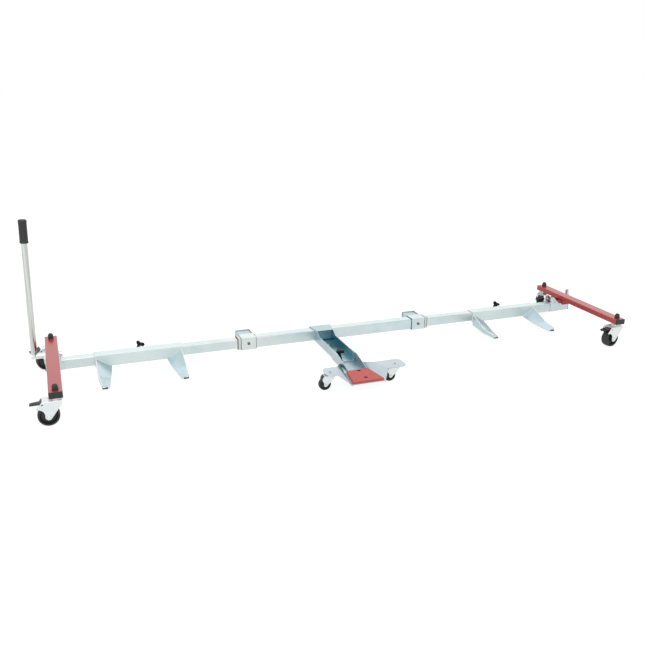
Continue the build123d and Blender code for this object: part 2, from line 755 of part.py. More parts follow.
at_arm = Pos(arm_x, 0, 0)
nodes["arm_channel"] = [at_arm * arm_channel()]
nodes["saddle_bolt"] = [at_arm * saddle_bolt()]
nodes["stand_base"] = [at_arm * stand_base()]
nodes["stand_pad"] = [at_arm * stand_pad()]
nodes["pad_screws"] = [at_arm * pad_screw(y) for y in pad_screw_y]
nodes["clamp_stud"] = [at_arm * clamp_stud()]
nodes["stand_knob"] = [at_arm * stand_knob()]
small_shank_top = wing_top + small.pin_r
swivel_x = {"left": small_caster_in["left"] - wing_end["left"],
            "right": wing_end["right"] - small_caster_in["right"]}
nodes["small_caster_pins"] = [at_arm * king_pin(small, x, small_caster_y, small_shank_top)
                              for x in swivel_x.values()]
for side, x in swivel_x.items():
    place = at_arm * Pos(x, small_caster_y, 0)
    nodes[f"{side}_small_fork"] = [place * fork(small, False), place * axle(small)]
    nodes[f"{side}_small_wheel"] = [place * wheel(small)]

ear_shape = {"left": low_ear, "right": tall_ear}
for side, x in hinge_at.items():
    end_pieces = {
        "inner_tube": [inner_tube()],
        "rail_plug": [rail_plug()],
        "hinge_ears": hinge_ears(ear_shape[side](x), x),
        "hinge_bolt": [hinge_bolt(x)],
        "hinge_lug": [hinge_lug(x)],
        "crossbeam": [crossbeam()],
        "beam_caps": beam_caps(),
        "king_pins": [king_pin(big, beam_x, y, beam_top + dome_h / 3) for y in stem_y.values()],
        "dome_caps": [dome_cap(y) for y in stem_y.values()],
        "lever_socket": [lever_socket()],
    }
    for name, solids in end_pieces.items():
        nodes[f"{side}_{name}"] = [mirror(solid, Plane.YZ) if side == "left" else solid for solid in solids]

for side, x in cradle_x.items():
    place = Pos(x, 0, 0)
    nodes[f"{side}_carriage"] = [place * carriage()]
    nodes[f"{side}_prongs"] = [place * prong(), place * mirror(prong(), Plane.YZ)]
    nodes[f"{side}_prong_tips"] = [place * prong_tip(), place * mirror(prong_tip(), Plane.YZ)]
    nodes[f"{side}_cradle_knob"] = [place * cradle_knob()]
    nodes[f"{side}_cradle_stud"] = [place * cradle_stud()]

for corner, turn in caster_turn.items():
    side, end = corner.split("_")
    place = Pos(-beam_x if side == "left" else beam_x, stem_y[end], 0) * Rot(0, 0, turn)
    nodes[f"{corner}_fork"] = [place * fork(big, True), place * axle(big)]
    nodes[f"{corner}_wheel"] = [place * wheel(big)]
    nodes[f"{corner}_pedal"] = [place * pedal()]

lever_tube, lever_grip = lever_pieces()
nodes["lever_tube"] = [lever_tube]
nodes["lever_grip"] = [lever_grip]

# The origin goes to the floor under the middle of the whole mover
box = Compound([solid for solids in nodes.values() for solid in solids]).bounding_box()
to_origin = Pos(-box.center().X, -box.center().Y, -box.min.Z)

os.makedirs("parts", exist_ok=True)
for name, solids in nodes.items():
    placed = [to_origin * solid for solid in solids]
    export_step(placed[0] if len(placed) == 1 else Compound(children=placed), f"parts/{name}.step")
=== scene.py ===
import bmesh
import bpy
import json
from math import atan2, cos, pi, radians, sin
from mathutils import Matrix, Vector


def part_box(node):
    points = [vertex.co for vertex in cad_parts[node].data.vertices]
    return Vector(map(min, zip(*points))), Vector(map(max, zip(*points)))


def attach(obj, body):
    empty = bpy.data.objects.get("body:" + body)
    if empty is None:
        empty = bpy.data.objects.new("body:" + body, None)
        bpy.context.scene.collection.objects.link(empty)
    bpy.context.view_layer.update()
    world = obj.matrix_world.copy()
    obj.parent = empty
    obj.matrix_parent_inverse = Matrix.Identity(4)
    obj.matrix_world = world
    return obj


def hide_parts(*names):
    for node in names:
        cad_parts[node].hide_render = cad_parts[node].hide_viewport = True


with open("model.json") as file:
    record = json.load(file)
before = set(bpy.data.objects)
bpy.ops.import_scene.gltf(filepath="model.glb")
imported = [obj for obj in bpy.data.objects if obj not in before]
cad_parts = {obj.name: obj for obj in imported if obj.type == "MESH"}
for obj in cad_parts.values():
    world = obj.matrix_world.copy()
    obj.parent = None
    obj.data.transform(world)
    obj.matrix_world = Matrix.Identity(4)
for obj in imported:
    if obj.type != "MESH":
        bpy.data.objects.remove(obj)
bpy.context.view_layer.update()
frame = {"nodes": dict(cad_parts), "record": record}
nodes = frame["nodes"]
print("frame loaded with", len(nodes), "nodes")

sides = ("left", "right")
casterTurn = {"left_front": 0, "left_rear": 12, "right_front": 8, "right_rear": 40}


def turned(degrees, axis):
    return Matrix.Rotation(radians(degrees), 4, axis)


# camera and studio
view = {"place": (-1.2324, -2.89472, 1.26341), "lens": 41.644, "clipEnd": 200,
        "yaw": 20.68, "pitch": 19.09, "roll": 0.67}
studio = {
    "skyFill": 0.5, "skySeen": 1.0,
    "floor": {"size": 60, "glow": 0.8, "shade": 0.42, "bounce": 0.8},
    "key": {"place": (-1.4, -2.6, 3.4), "target": (0, -0.1, 0.1), "size": (4.5, 4.5), "power": 90},
    "rim": {"place": (0.9, 3.0, 2.5), "target": (0, 0, 0.1), "size": (8, 3.6), "power": 38},
}


def addCamera():
    data = bpy.data.cameras.new("camera")
    data.lens = view["lens"]
    data.clip_end = view["clipEnd"]
    cam = bpy.data.objects.new("camera", data)
    bpy.context.collection.objects.link(cam)
    turn = turned(-view["yaw"], "Z") @ turned(90 - view["pitch"], "X")
    cam.matrix_world = Matrix.Translation(view["place"]) @ turn @ turned(view["roll"], "Z")
    bpy.context.scene.camera = cam


def addLamp(name, look):
    data = bpy.data.lights.new(name, "AREA")
    data.shape = "RECTANGLE"
    data.size, data.size_y = look["size"]
    data.energy = look["power"]
    lamp = bpy.data.objects.new(name, data)
    lamp.location = look["place"]
    aim = Vector(look["target"]) - Vector(look["place"])
    lamp.rotation_euler = aim.to_track_quat("-Z", "Y").to_euler()
    bpy.context.collection.objects.link(lamp)


def seenRays(tree):
    # 1 for what the camera sees, straight on or in a reflection
    path = tree.nodes.new("ShaderNodeLightPath")
    seen = path.outputs["Is Camera Ray"]
    for label in ("Is Glossy Ray", "Is Transmission Ray"):
        either = tree.nodes.new("ShaderNodeMath")
        either.operation = "MAXIMUM"
        tree.links.new(seen, either.inputs[0])
        tree.links.new(path.outputs[label], either.inputs[1])
        seen = either.outputs[0]
    return seen


def addSky():
    world = bpy.data.worlds.new("studio")
    bpy.context.scene.world = world
    world.use_nodes = True
    tree = world.node_tree
    level = tree.nodes.new("ShaderNodeMapRange")
    level.inputs["To Min"].default_value = studio["skyFill"]
    level.inputs["To Max"].default_value = studio["skySeen"]
    tree.links.new(seenRays(tree), level.inputs["Value"])
    back = tree.nodes["Background"]
    back.inputs["Color"].default_value = (1, 1, 1, 1)
    tree.links.new(level.outputs[0], back.inputs["Strength"])


def addMatt(tree, level):
    matt = tree.nodes.new("ShaderNodeBsdfDiffuse")
    matt.inputs["Color"].default_value = (level, level, level, 1)
    return matt.outputs[0]


def addFloor():
    look = studio["floor"]
    shape = bmesh.new()
    bmesh.ops.create_grid(shape, x_segments=1, y_segments=1, size=look["size"] / 2)
    mesh = bpy.data.meshes.new("floor")
    shape.to_mesh(mesh)
    shape.free()
    floor = bpy.data.objects.new("floor", mesh)
    bpy.context.collection.objects.link(floor)
    mat = bpy.data.materials.new("floorWhite")
    mat.use_nodes = True
    tree = mat.node_tree
    tree.nodes.remove(tree.nodes["Principled BSDF"])
    glow = tree.nodes.new("ShaderNodeEmission")
    glow.inputs["Strength"].default_value = look["glow"]
    white = tree.nodes.new("ShaderNodeAddShader")
    tree.links.new(addMatt(tree, look["shade"]), white.inputs[0])
    tree.links.new(glow.outputs[0], white.inputs[1])
    choose = tree.nodes.new("ShaderNodeMixShader")
    tree.links.new(seenRays(tree), choose.inputs[0])
    tree.links.new(addMatt(tree, look["bounce"]), choose.inputs[1])
    tree.links.new(white.outputs[0], choose.inputs[2])
    tree.links.new(choose.outputs[0], tree.nodes["Material Output"].inputs["Surface"])
    mesh.materials.append(mat)


addCamera()
addSky()
addFloor()
addLamp("keyLamp", studio["key"])
addLamp("rimLamp", studio["rim"])
print("camera and studio set")

# shader groups shared by the finishes
mottleNoise = {"detail": {"Clouds": 4, "Grain": 2}, "rough": 0.55}
lineNoise = {"detail": 3, "rough": 0.6}
edgeRange = {"samples": 4, "flat": 1.0, "turned": 0.8}
# occlusion settings of the painted shade in recesses
paintedShadeRange = {"samples": 6, "open": 0.85, "closed": 0.35}
noiseMiddle = 0.5


def newGroup(name, inputs, outputs):
    tree = bpy.data.node_groups.new(name, "ShaderNodeTree")
    for way, sockets in (("INPUT", inputs), ("OUTPUT", outputs)):
        for label, kind in sockets.items():
            tree.interface.new_socket(label, in_out=way, socket_type="NodeSocket" + kind)
    return tree, tree.nodes.new("NodeGroupInput"), tree.nodes.new("NodeGroupOutput")


def addNoise(tree, detail, rough):
    noise = tree.nodes.new("ShaderNodeTexNoise")
    noise.inputs["Scale"].default_value = 1
    noise.inputs["Detail"].default_value = detail
    noise.inputs["Roughness"].default_value = rough
    return noise


def addMath(tree, operation, *values):
    node = tree.nodes.new("ShaderNodeMath")
    node.operation = operation
    for slot, value in enumerate(values):
        if isinstance(value, (int, float)):
            node.inputs[slot].default_value = value
        else:
            tree.links.new(value, node.inputs[slot])
    return node.outputs[0]


def addVectorMath(tree, operation, first, second):
    node = tree.nodes.new("ShaderNodeVectorMath")
    node.operation = operation
    tree.links.new(first, node.inputs[0])
    tree.links.new(second, node.inputs[1])
    return node


def addRamp(tree, value, start, end):
    # 0 at start, 1 at end
    ramp = tree.nodes.new("ShaderNodeMapRange")
    ramp.inputs["From Min"].default_value = start
    ramp.inputs["From Max"].default_value = end
    tree.links.new(value, ramp.inputs["Value"])
    return ramp.outputs[0]


def makeMottle():
    # slow clouds and fine grain, both around zero
    tree, given, out = newGroup("mottle", {"Vector": "Vector", "Clouds": "Float", "Grain": "Float"},
                                {"Clouds": "Float", "Grain": "Float"})
    for label, detail in mottleNoise["detail"].items():
        noise = addNoise(tree, detail, mottleNoise["rough"])
        tree.links.new(given.outputs["Vector"], noise.inputs["Vector"])
        tree.links.new(given.outputs[label], noise.inputs["Scale"])
        tree.links.new(addMath(tree, "SUBTRACT", noise.outputs["Fac"], noiseMiddle), out.inputs[label])
    return tree


def makeDrawLines():
    # faint lines left along a drawn tube or a rolled sheet; on the lever tube they are stretched into
    # strong light and dark bands that are painted reflection
    tree, given, out = newGroup("drawLines", {"Vector": "Vector", "Stretch": "Vector"},
                                {"Lines": "Float"})
    scaled = addVectorMath(tree, "MULTIPLY", given.outputs["Vector"], given.outputs["Stretch"])
    noise = addNoise(tree, lineNoise["detail"], lineNoise["rough"])
    tree.links.new(scaled.outputs[0], noise.inputs["Vector"])
    tree.links.new(addMath(tree, "SUBTRACT", noise.outputs["Fac"], noiseMiddle), out.inputs["Lines"])
    return tree


def makeSoftEdge():
    # rounded normals near an edge, and a mask of where the edge is; the mask places the painted edge
    # highlight
    tree, given, out = newGroup("softEdge", {"Radius": "Float"}, {"Normal": "Vector", "Edge": "Float"})
    bevel = tree.nodes.new("ShaderNodeBevel")
    bevel.samples = edgeRange["samples"]
    tree.links.new(given.outputs["Radius"], bevel.inputs["Radius"])
    plain = tree.nodes.new("ShaderNodeNewGeometry")
    facing = addVectorMath(tree, "DOT_PRODUCT", bevel.outputs["Normal"], plain.outputs["Normal"])
    mask = addRamp(tree, facing.outputs["Value"], edgeRange["flat"], edgeRange["turned"])
    tree.links.new(bevel.outputs["Normal"], out.inputs["Normal"])
    tree.links.new(mask, out.inputs["Edge"])
    return tree


def makePaintedShadeMask():
    # 1 well inside a pocket or a corner, 0 on open faces: the mask of the painted shade that darkens
    # recesses
    tree, given, out = newGroup("paintedShadeMask", {"Distance": "Float"}, {"PaintedShade": "Float"})
    around = tree.nodes.new("ShaderNodeAmbientOcclusion")
    around.samples = paintedShadeRange["samples"]
    around.only_local = True
    tree.links.new(given.outputs["Distance"], around.inputs["Distance"])
    mask = addRamp(tree, around.outputs["AO"], paintedShadeRange["open"], paintedShadeRange["closed"])
    tree.links.new(mask, out.inputs["PaintedShade"])
    return tree


mottle = makeMottle()
drawLines = makeDrawLines()
softEdge = makeSoftEdge()
paintedShadeMask = makePaintedShadeMask()
print("shader groups made")


def placeGroup(tree, group, where=None, **values):
    node = tree.nodes.new("ShaderNodeGroup")
    node.node_tree = group
    for label, value in values.items():
        node.inputs[label].default_value = value
    if where is not None:
        tree.links.new(where, node.inputs["Vector"])
    return node


def mixColour(tree, amount, low, high):
    node = tree.nodes.new("ShaderNodeMix")
    node.data_type = "RGBA"
    tree.links.new(amount, node.inputs["Factor"])
    for label, value in (("A", low), ("B", high)):
        if isinstance(value, tuple):
            node.inputs[label].default_value = value + (1,)
        else:
            tree.links.new(value, node.inputs[label])
    return node.outputs["Result"]


def clampValue(tree, value):
    node = tree.nodes.new("ShaderNodeClamp")
    tree.links.new(value, node.inputs["Value"])
    return node.outputs[0]


def startFinish(name):
    mat = bpy.data.materials.new(name)
    mat.use_nodes = True
    tree = mat.node_tree
    where = tree.nodes.new("ShaderNodeTexCoord")
    return mat, tree, tree.nodes["Principled BSDF"], where.outputs["Object"]


def addBump(tree, height, look, normal):
    bump = tree.nodes.new("ShaderNodeBump")
    bump.inputs["Strength"].default_value = look["bump"]
    bump.inputs["Distance"].default_value = look["bumpDepth"]
    tree.links.new(height, bump.inputs["Height"])
    tree.links.new(normal, bump.inputs["Normal"])
    return bump.outputs["Normal"]


def metalFinish(name, look):
    # bare or plated metal: clouds and a slow warm tint in the colour, painted shade darkening recesses
    # and a painted highlight along edges, grain and lines in the roughness
    mat, tree, skin, where = startFinish(name)
    spots = placeGroup(tree, mottle, where, Clouds=look["clouds"], Grain=look["grain"])
    lines = placeGroup(tree, drawLines, where, Stretch=look["stretch"])
    edge = placeGroup(tree, softEdge, Radius=look["edge"])
    shade = addMath(tree, "MULTIPLY_ADD", spots.outputs["Clouds"], look["cloudiness"], noiseMiddle)
    shade = addMath(tree, "MULTIPLY_ADD", lines.outputs["Lines"], look["lineShade"], shade)
    colour = mixColour(tree, shade, look["dark"], look["light"])
    drift = placeGroup(tree, mottle, where, Clouds=look["drift"], Grain=look["grain"])
    warmth = addMath(tree, "MULTIPLY_ADD", drift.outputs["Clouds"], look["driftGain"], look["warmth"])
    colour = mixColour(tree, clampValue(tree, warmth), colour, look["warm"])
    # painted shade: the colour darkens towards the recess colour in pockets and corners, by the part's
    # own occlusion
    recess = placeGroup(tree, paintedShadeMask, Distance=look["recess"])
    depth = addMath(tree, "MULTIPLY", recess.outputs["PaintedShade"], look["recessShade"])
    colour = mixColour(tree, depth, colour, look["paintedShadeColour"])
    # painted highlight along edges: the edge colour is lighter than the body
    colour = mixColour(tree, edge.outputs["Edge"], colour, look["paintedEdgeLight"])
    tree.links.new(colour, skin.inputs["Base Color"])
    spread = look["roughSpread"]
    rough = addMath(tree, "MULTIPLY_ADD", spots.outputs["Grain"], spread, look["rough"])
    rough = addMath(tree, "MULTIPLY_ADD", lines.outputs["Lines"], spread, rough)
    tree.links.new(rough, skin.inputs["Roughness"])
    skin.inputs["Metallic"].default_value = look["metal"]
    height = addMath(tree, "ADD", spots.outputs["Grain"], lines.outputs["Lines"])
    tree.links.new(addBump(tree, height, look, edge.outputs["Normal"]), skin.inputs["Normal"])
    return mat


# in the metal looks below, the recess colour with recess and recessShade sets painted shade in recesses,
# and the edge colour a painted highlight along edges
zincLook = dict(
    clouds=14.0, grain=420.0, drift=2.2, driftGain=3.0, stretch=(2.0, 240.0, 240.0),
    cloudiness=1.0, lineShade=0.35, dark=(0.42, 0.55, 0.57), light=(0.66, 0.74, 0.75),
    warm=(0.66, 0.68, 0.65), warmth=0.25, paintedShadeColour=(0.10, 0.20, 0.23), recess=0.03, recessShade=0.5,
    paintedEdgeLight=(0.84, 0.88, 0.89), edge=0.0014, rough=0.30, roughSpread=0.2, metal=0.9,
    bump=0.1, bumpDepth=0.0003)
prongLook = dict(
    zincLook, dark=(0.37, 0.50, 0.53), light=(0.55, 0.66, 0.69), warm=(0.50, 0.60, 0.64), warmth=0.1,
    paintedEdgeLight=(0.92, 0.95, 0.95), edge=0.0018)
sheetLook = dict(
    zincLook, dark=(0.36, 0.43, 0.46), light=(0.51, 0.59, 0.62), warm=(0.45, 0.51, 0.55), warmth=0.1,
    paintedShadeColour=(0.05, 0.22, 0.29), recess=0.05, recessShade=0.65, paintedEdgeLight=(0.66, 0.72, 0.74), rough=0.36)
# arm channel: recess shading at full strength and a wider reach, painted shade inside the channel
channelLook = dict(
    sheetLook, dark=(0.30, 0.42, 0.46), light=(0.43, 0.54, 0.58), warm=(0.41, 0.48, 0.55),
    paintedShadeColour=(0.03, 0.25, 0.33), recess=0.11, recessShade=1.0, rough=0.28)
collarLook = dict(zincLook, recessShade=0.1)
carriageLook = dict(
    zincLook, dark=(0.56, 0.67, 0.68), light=(0.77, 0.84, 0.84), warm=(0.68, 0.78, 0.76),
    metal=0.6, rough=0.42)
forkLook = dict(
    zincLook, dark=(0.64, 0.71, 0.73), light=(0.80, 0.84, 0.85), warm=(0.78, 0.80, 0.78), warmth=0.2,
    paintedEdgeLight=(0.95, 0.96, 0.96), recessShade=0.35, metal=0.75)
# prong ridges: near white and half metal, a painted highlight along the fold
ridgeHighlightLook = dict(
    forkLook, dark=(0.9, 0.93, 0.93), light=(0.97, 0.98, 0.98), warm=(0.95, 0.96, 0.95),
    recessShade=0.0, metal=0.4, rough=0.5)
steelLook = dict(
    zincLook, dark=(0.42, 0.43, 0.43), light=(0.66, 0.66, 0.65), warm=(0.6, 0.6, 0.57),
    paintedEdgeLight=(0.75, 0.75, 0.74), paintedShadeColour=(0.08, 0.08, 0.08), edge=0.0006, stretch=(90.0, 90.0, 90.0),
    rough=0.28, metal=1.0)
# lever tube: real draw lines stretched into strong light and dark streaks, which also serve as painted
# reflection bands on the polished tube
tubeReflectionBandsLook = dict(
    steelLook, dark=(0.35, 0.38, 0.36), light=(0.79, 0.80, 0.77), warm=(0.64, 0.64, 0.59), warmth=0.0,
    paintedEdgeLight=(0.9, 0.9, 0.89), recessShade=0.2, stretch=(110.0, 110.0, 1.2), cloudiness=0.1,
    lineShade=1.6, rough=0.2, roughSpread=0.05, bump=0.02)
darkLook = dict(
    steelLook, dark=(0.035, 0.035, 0.036), light=(0.075, 0.075, 0.076), warm=(0.06, 0.058, 0.055),
    paintedEdgeLight=(0.14, 0.14, 0.14), rough=0.4)
boltLook = dict(
    steelLook, dark=(0.09, 0.09, 0.085), light=(0.2, 0.2, 0.19), warm=(0.15, 0.14, 0.12),
    paintedEdgeLight=(0.3, 0.3, 0.28), rough=0.4)
zinc = metalFinish("zincPlate", zincLook)
prongZinc = metalFinish("prongZinc", prongLook)
blueSheet = metalFinish("blueZincSheet", sheetLook)
channelZinc = metalFinish("channelZinc", channelLook)
collarZinc = metalFinish("collarZinc", collarLook)
carriageZinc = metalFinish("carriageZinc", carriageLook)
forkZinc = metalFinish("forkZinc", forkLook)
paintedRidgeHighlight = metalFinish("paintedRidgeHighlight", ridgeHighlightLook)
steel = metalFinish("plainSteel", steelLook)
brightTube = metalFinish("brightTube", tubeReflectionBandsLook)
darkSteel = metalFinish("blackenedSteel", darkLook)
boltSteel = metalFinish("boltSteel", boltLook)
print("metal finishes made")


def paintFinish(name, look):
    # paint, plastic and rubber: clouded colour, a painted highlight along edges (painted shade on the
    # pad's darker edges), fine peel in the bump
    mat, tree, skin, where = startFinish(name)
    spots = placeGroup(tree, mottle, where, Clouds=look["clouds"], Grain=look["peel"])
    edge = placeGroup(tree, softEdge, Radius=look["edge"])
    shade = addMath(tree, "MULTIPLY_ADD", spots.outputs["Clouds"], look["cloudiness"], noiseMiddle)
    colour = mixColour(tree, shade, look["dark"], look["light"])
    # painted highlight along edges, and painted shade where the edge colour is darker, as on the pad
    colour = mixColour(tree, edge.outputs["Edge"], colour, look["paintedEdgeLight"])
    tree.links.new(colour, skin.inputs["Base Color"])
    spread = look["roughSpread"]
    rough = addMath(tree, "MULTIPLY_ADD", spots.outputs["Clouds"], spread, look["rough"])
    tree.links.new(rough, skin.inputs["Roughness"])
    skin.inputs["Specular IOR Level"].default_value = look["shine"]
    skin.inputs["Coat Weight"].default_value = look["coat"]
    skin.inputs["Coat Roughness"].default_value = look["coatRough"]
    normal = addBump(tree, spots.outputs["Grain"], look, edge.outputs["Normal"])
    tree.links.new(normal, skin.inputs["Normal"])
    return mat


plainLook = dict(roughSpread=0.2, shine=0.5, coat=0.0, coatRough=0.3, bumpDepth=0.0004)
paintLook = dict(
    plainLook, clouds=11.0, peel=320.0, edge=0.0016, cloudiness=0.9, dark=(0.38, 0.022, 0.02),
    light=(0.52, 0.038, 0.034), paintedEdgeLight=(0.62, 0.10, 0.09), rough=0.36, roughSpread=0.12,
    shine=0.42, coat=0.35, coatRough=0.14, bump=0.08)
# the pad's edge colour is darker than its body: painted shade along the pad's edges
padLook = dict(
    plainLook, clouds=18.0, peel=700.0, edge=0.0012, cloudiness=0.8, dark=(0.47, 0.06, 0.052),
    light=(0.63, 0.10, 0.086), paintedEdgeLight=(0.44, 0.05, 0.045), rough=0.5, roughSpread=0.15, bump=0.15)
plasticLook = dict(
    plainLook, clouds=22.0, peel=900.0, edge=0.0008, cloudiness=0.8, dark=(0.010, 0.010, 0.011),
    light=(0.026, 0.026, 0.028), paintedEdgeLight=(0.05, 0.05, 0.053), rough=0.46, bump=0.3)
mouldedLook = dict(
    plasticLook, dark=(0.005, 0.005, 0.0055), light=(0.012, 0.012, 0.013),
    paintedEdgeLight=(0.03, 0.03, 0.032), rough=0.5, shine=0.22)
rubberLook = dict(
    plainLook, clouds=30.0, peel=600.0, edge=0.001, cloudiness=1.0, dark=(0.009, 0.009, 0.0095),
    light=(0.024, 0.024, 0.025), paintedEdgeLight=(0.04, 0.04, 0.042), rough=0.58, bump=0.25)
# dark grey rings at the collar ends: painted shadow in the gaps there
gapShadowLook = dict(
    rubberLook, edge=0.0006, dark=(0.05, 0.06, 0.06), light=(0.10, 0.115, 0.115),
    paintedEdgeLight=(0.12, 0.13, 0.13), bump=0.2)
softGripLook = dict(
    plainLook, clouds=26.0, peel=480.0, edge=0.0008, cloudiness=0.9, dark=(0.012, 0.012, 0.013),
    light=(0.03, 0.03, 0.032), paintedEdgeLight=(0.045, 0.045, 0.048), rough=0.5, bump=0.35)
nylonLook = dict(
    plainLook, clouds=24.0, peel=800.0, edge=0.0008, cloudiness=0.8, dark=(0.72, 0.73, 0.70),
    light=(0.80, 0.81, 0.78), paintedEdgeLight=(0.84, 0.84, 0.82), rough=0.48, bump=0.2)
redPaint = paintFinish("redPaint", paintLook)
redPad = paintFinish("redPad", padLook)
blackPlastic = paintFinish("blackPlastic", plasticLook)
knobPlastic = paintFinish("knobPlastic", mouldedLook)
gapShadowDark = paintFinish("gapShadowDark", gapShadowLook)
blackRubber = paintFinish("blackRubber", rubberLook)
gripRubber = paintFinish("gripRubber", softGripLook)
guideNylon = paintFinish("guideNylon", nylonLook)
print("paint, plastic and rubber finishes made")

# finish of each slot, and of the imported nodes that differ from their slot
finishes = {"zinc": zinc, "steel": steel, "red_paint": redPaint, "red_pad": redPad,
            "black_plastic": blackPlastic, "guide_nylon": guideNylon, "black_rubber": blackRubber,
            "grip_rubber": gripRubber}
ownFinish = {"arm_channel": channelZinc, "stand_base": blueSheet, "lever_tube": brightTube,
             "clamp_stud": darkSteel, "collar_locks": boltSteel, "collars": collarZinc,
             "left_hinge_lug": zinc}
endingFinish = {"_prongs": prongZinc, "_carriage": carriageZinc, "_fork": forkZinc,
                "_lever_socket": forkZinc}
for name in nodes:
    for ending, finish in endingFinish.items():
        if name.endswith(ending):
            ownFinish[name] = finish
for sub in frame["record"]["subparts"]:
    mesh = nodes[sub["node"]].data
    mesh.materials.clear()
    mesh.materials.append(ownFinish.get(sub["node"], finishes[sub["material_slot"]]))
print("finishes given to the packed nodes")

# placing: millimetres from the rail's axis, halfway between the crossbeams, to metres in the frame
perMetre = 1000


def boxMiddle(node):
    return sum(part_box(node), Vector()) / 2


def railPlace():
    tubeLow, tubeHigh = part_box("centre_tube")
    middles = [boxMiddle(side + "_crossbeam") for side in sides]
    return Vector((sum(middle.x for middle in middles) / 2, (tubeLow.y + tubeHigh.y) / 2, 0))


railMiddle = railPlace()


def spot(x, y, z):
    return railMiddle + Vector((x, y, z)) / perMetre


def boxMillimetres(node):
    return [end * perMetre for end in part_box(node)]


def addPiece(name, shape, finish, body, replaced=(), sharp=35):
    mesh = bpy.data.meshes.new(name)
    shape.to_mesh(mesh)
    shape.free()
    mesh.shade_smooth()
    mesh.set_sharp_from_angle(angle=radians(sharp))
    piece = bpy.data.objects.new(name, mesh)
    bpy.context.collection.objects.link(piece)
    for each in finish if isinstance(finish, tuple) else (finish,):
        mesh.materials.append(each)
    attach(piece, body)
    if replaced:
        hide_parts(*replaced)


# shapes used by several pieces, with sizes in millimetres
mergeGap = 1e-6
layWheel = turned(90, "X")


def spinShape(profile, steps):
    # profile of (radius, height), turned about Z
    shape = bmesh.new()
    points = [shape.verts.new((radius / perMetre, 0, height / perMetre)) for radius, height in profile]
    edges = [shape.edges.new(pair) for pair in zip(points, points[1:])]
    bmesh.ops.spin(shape, geom=points + edges, cent=(0, 0, 0), axis=(0, 0, 1), angle=2 * pi,
                   steps=steps, use_merge=True, use_duplicate=False)
    bmesh.ops.remove_doubles(shape, verts=shape.verts, dist=mergeGap)
    bmesh.ops.recalc_face_normals(shape, faces=shape.faces)
    return shape


def moveShape(shape, matrix):
    bmesh.ops.transform(shape, matrix=matrix, verts=shape.verts)
    return shape


def joinShape(shape, other):
    # other's faces go into shape
    mesh = bpy.data.meshes.new("part")
    other.to_mesh(mesh)
    other.free()
    shape.from_mesh(mesh)
    bpy.data.meshes.remove(mesh)


def bevelEdges(shape, edges, offset, segments):
    bmesh.ops.bevel(shape, geom=edges, offset=offset / perMetre, offset_type="OFFSET",
                    segments=segments, profile=0.5, affect="EDGES", material=-1, clamp_overlap=True)


def barShape(size, centre, bevel, segments=2):
    # bar with rounded edges
    shape = bmesh.new()
    bmesh.ops.create_cube(shape, size=1)
    bmesh.ops.scale(shape, vec=Vector(size) / perMetre, verts=shape.verts)
    bevelEdges(shape, list(shape.edges), bevel, segments)
    bmesh.ops.translate(shape, vec=Vector(centre) / perMetre, verts=shape.verts)
    return shape


bigWheel = {"radius": 40, "width": 36, "tread": 9, "hub": 13, "hubHalf": 21.4, "bore": 5.2, "steps": 64}
smallWheel = {"radius": 26, "width": 22, "tread": 6, "hub": 9, "hubHalf": 13.4, "bore": 4.2, "steps": 56}
wheelForm = {"boreDepth": 0.7, "webRoot": 0.42, "web": 0.36, "rimStep": 0.7}


def wheelShape(look):
    half, radius, hub, end = look["width"] / 2, look["radius"], look["hub"], look["hubHalf"]
    rim = radius - look["tread"]
    bore = [(look["bore"], end * wheelForm["boreDepth"]), (look["bore"] + 1, end)]
    boss = [(hub - 1, end), (hub, end - 1), (hub + 0.8, half * wheelForm["webRoot"])]
    web = [(hub + 3, half * wheelForm["web"]), (rim - 3, half * wheelForm["web"]), (rim - 1, half * 0.5)]
    wall = [(rim - 0.4, half * 0.86), (rim + 1.2, half * 0.97), (radius - 4.5, half)]
    tread = [(radius - 2.2, half * 0.93), (radius - 0.8, half * 0.74), (radius - 0.2, half * 0.4),
             (radius, 0.5)]
    profile = bore + boss + web + wall + tread
    profile += [(across, -height) for across, height in reversed(profile)]
    shape = spinShape(profile + profile[:1], look["steps"])
    edge = (rim - wheelForm["rimStep"]) / perMetre
    for face in shape.faces:
        face.material_index = 0 if face.calc_center_median().xy.length > edge else 1
    return shape


def addWheel(name, node, look, turn, body):
    place = Matrix.Translation(boxMiddle(node)) @ turned(turn, "Z") @ layWheel
    addPiece(name, moveShape(wheelShape(look), place), (blackRubber, blackPlastic), body,
             [node])


for corner, turn in casterTurn.items():
    addWheel(corner + "_tyre", corner + "_wheel", bigWheel, turn, corner + "_roller")
for side in sides:
    addWheel(side + "_small_tyre", side + "_small_wheel", smallWheel, 0, side + "_small_roller")
print("wheels turned")

bigRace = {"radius": 22.4, "low": 96.6, "high": 109.4, "pinRadius": 22, "steps": 56}
smallRace = {"radius": 17.3, "low": 63.4, "high": 71.6, "pinRadius": 17, "steps": 56}


def raceShape(look):
    # pressed ring that hides the balls, with a dust gap
    r, low, high = look["radius"], look["low"], look["high"]
    middle = (low + high) / 2
    lower = [(r - 3, low), (r - 0.4, low), (r + 0.6, low + 0.8), (r + 0.9, middle - 1)]
    gap = [(r + 0.3, middle - 0.4), (r - 1.2, middle), (r - 0.6, middle + 0.6)]
    upper = [(r - 0.2, high - 1), (r - 0.8, high - 0.2), (r - 3, high)]
    return spinShape(lower + gap + upper, look["steps"])


def casterSpot(corner):
    # foot of a big caster's swivel axis, from the ends of its king pin's plate
    side, end = corner.split("_")
    low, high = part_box(side + "_king_pins")
    reach = bigRace["pinRadius"] / perMetre
    return Vector(((low.x + high.x) / 2, low.y + reach if end == "front" else high.y - reach, 0))


